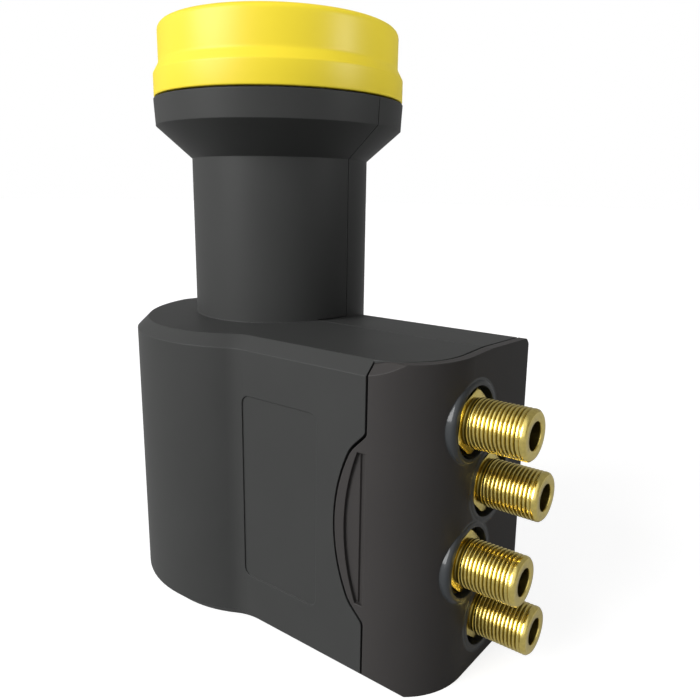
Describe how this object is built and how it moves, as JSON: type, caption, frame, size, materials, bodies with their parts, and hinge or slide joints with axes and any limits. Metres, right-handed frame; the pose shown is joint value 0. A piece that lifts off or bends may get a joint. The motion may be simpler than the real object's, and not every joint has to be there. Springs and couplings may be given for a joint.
{
  "type": "satellite low-noise block downconverter with four outputs",
  "caption": "Feed horn under a yellow cap, round clamp neck, dark two-part housing, and a sliding weather cover over threaded coaxial connectors.",
  "frame": {"origin": "on the neck's axis at the shoulder, where the neck rises from the top of the housing", "axes": "+Z along the neck and horn towards the cap, +X towards the connectors, -Y towards the side with the bare label field"},
  "size_m": [0.1016, 0.0619, 0.1264],
  "materials": {
    "cap_plastic": "satin moulded, yellow",
    "housing_plastic": "fine-grained moulded, dark warm grey",
    "cover_plastic": "fine-grained moulded, dark brownish grey",
    "seal_rubber": "matt black",
    "cast_metal": "die-cast, plain",
    "lid_sheet": "stamped sheet, plain",
    "screw_steel": "zinc plated",
    "board_laminate": "green solder mask",
    "probe_metal": "plain drawn rod",
    "chip_plastic": "black moulding",
    "crystal_can": "plain can",
    "capacitor_can": "plain can",
    "bush_plastic": "white waxy plastic",
    "gold_plate": "bright yellow plating",
    "socket_plastic": "dark brown plastic",
    "contact_bronze": "plain spring metal"
  },
  "bodies": {
    "housing": {"radome_cap": "cap_plastic", "near_shell": "housing_plastic", "far_shell": "housing_plastic", "cap_seal": "seal_rubber", "connector_seal_1": "seal_rubber", "connector_seal_2": "seal_rubber", "connector_seal_3": "seal_rubber", "connector_seal_4": "seal_rubber", "horn_casting": "cast_metal", "near_lid": "lid_sheet", "far_lid": "lid_sheet", "shell_screws": "screw_steel", "near_lid_screws": "screw_steel", "far_lid_screws": "screw_steel", "rf_board": "board_laminate", "switch_board": "board_laminate", "straight_probe": "probe_metal", "bent_probe": "probe_metal", "guide_rod": "probe_metal", "link_pins": "probe_metal", "amplifier_chips": "chip_plastic", "mixer_chips": "chip_plastic", "switch_chips": "chip_plastic", "voltage_regulator": "chip_plastic", "oscillator_crystal": "crystal_can", "capacitors": "capacitor_can", "probe_bush_1": "bush_plastic", "probe_bush_2": "bush_plastic", "connector_body_1": "gold_plate", "connector_body_2": "gold_plate", "connector_body_3": "gold_plate", "connector_body_4": "gold_plate", "connector_insulator_1": "socket_plastic", "connector_insulator_2": "socket_plastic", "connector_insulator_3": "socket_plastic", "connector_insulator_4": "socket_plastic", "connector_contact_1": "contact_bronze", "connector_contact_2": "contact_bronze", "connector_contact_3": "contact_bronze", "connector_contact_4": "contact_bronze"},
    "cover": {"weather_cover": "cover_plastic"}
  },
  "joints": [
    {"name": "cover_slide", "type": "slide", "parent": "housing", "child": "cover", "axis": [1, 0, 0], "range_m": [0, 0.0177]}
  ]
}
